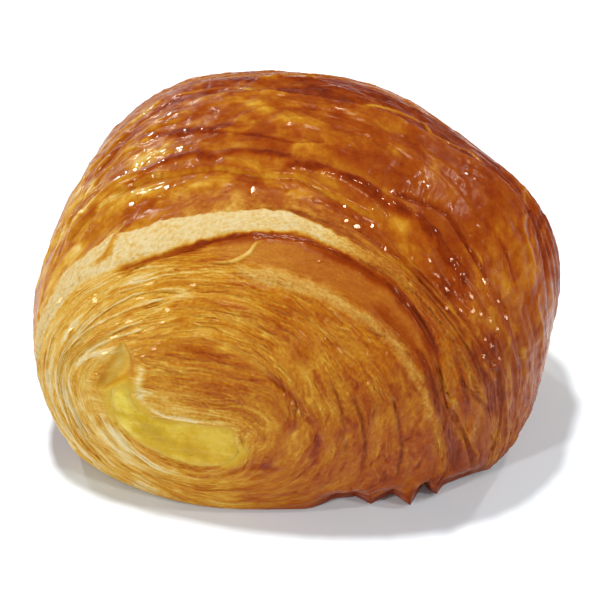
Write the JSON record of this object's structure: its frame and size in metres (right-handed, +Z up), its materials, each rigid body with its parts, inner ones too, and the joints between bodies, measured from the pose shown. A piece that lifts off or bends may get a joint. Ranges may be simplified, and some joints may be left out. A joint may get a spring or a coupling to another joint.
{
  "type": "danish pastry",
  "caption": "Rolled, laminated danish pastry with a glazed brown crust, pale flaky edges and a crescent of yellow custard running through the roll.",
  "frame": {"origin": "on the surface the pastry stands on, under the middle of its footprint", "axes": "+Z up; X across the roll, its longest side; Y along the roll, with the end that shows the custard towards -Y"},
  "size_m": [0.1002, 0.0824, 0.0623],
  "materials": {
    "baked_pastry": "egg-washed laminated pastry, glossy brown crust over matt golden layers",
    "custard": "smooth wet yellow custard"
  },
  "bodies": {
    "root": {"pastry_roll": "baked_pastry", "custard_filling": "custard"}
  },
  "joints": []
}
